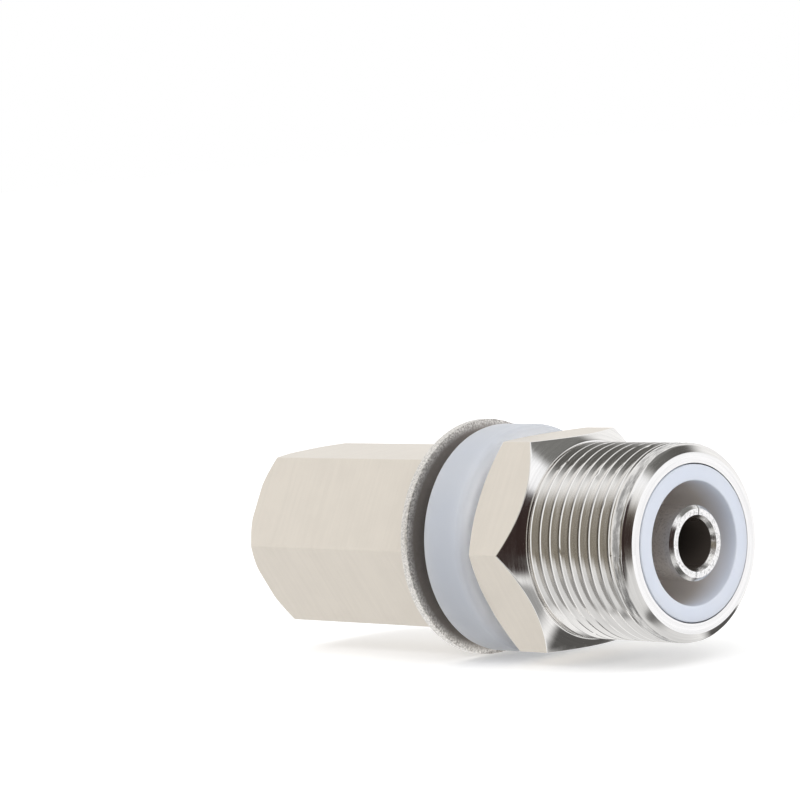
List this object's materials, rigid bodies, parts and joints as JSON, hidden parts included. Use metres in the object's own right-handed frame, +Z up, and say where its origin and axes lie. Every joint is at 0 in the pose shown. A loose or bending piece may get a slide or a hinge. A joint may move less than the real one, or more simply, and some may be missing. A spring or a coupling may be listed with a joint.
{
  "type": "coaxial adapter",
  "caption": "Threaded coaxial socket on a hexagon flange, with an insulated stud, shoulder washer, flat washer and long hexagon nut for a screw-in antenna.",
  "frame": {"origin": "centre of the flange's face on the socket side, where the threaded barrel starts", "axes": "+X along the adapter's axis, out of the coaxial socket, +Z up, square to one pair of flange flats"},
  "size_m": [0.0444, 0.0196, 0.0194],
  "materials": {
    "satin_nickel": "satin plating",
    "nut_nickel": "satin plating",
    "bright_nickel": "bright plating",
    "stud_metal": "plated",
    "washer_steel": "stamped",
    "white_insulator": "smooth",
    "white_nylon": "smooth"
  },
  "bodies": {
    "connector": {"connector_shell": "satin_nickel", "dielectric": "white_insulator", "centre_contact": "bright_nickel", "rear_bush": "white_insulator", "stud": "stud_metal", "shoulder_washer": "white_nylon"},
    "clamp_washer": {"flat_washer": "washer_steel"},
    "coupling_nut": {"coupling_nut": "nut_nickel"}
  },
  "joints": [
    {"name": "nut_travel", "type": "slide", "parent": "connector", "child": "clamp_washer", "axis": [1, 0, 0], "range_m": [-0.006, 0.00148]},
    {"name": "nut_turn", "type": "hinge", "parent": "clamp_washer", "child": "coupling_nut", "pos_m": [-0.0231, 0, 0], "axis": [1, 0, 0], "range_deg": [-2030, 500]}
  ],
  "couplings": [
    {"joint": "nut_travel", "follows": "nut_turn", "m_per_rad": 0.00016844}
  ]
}
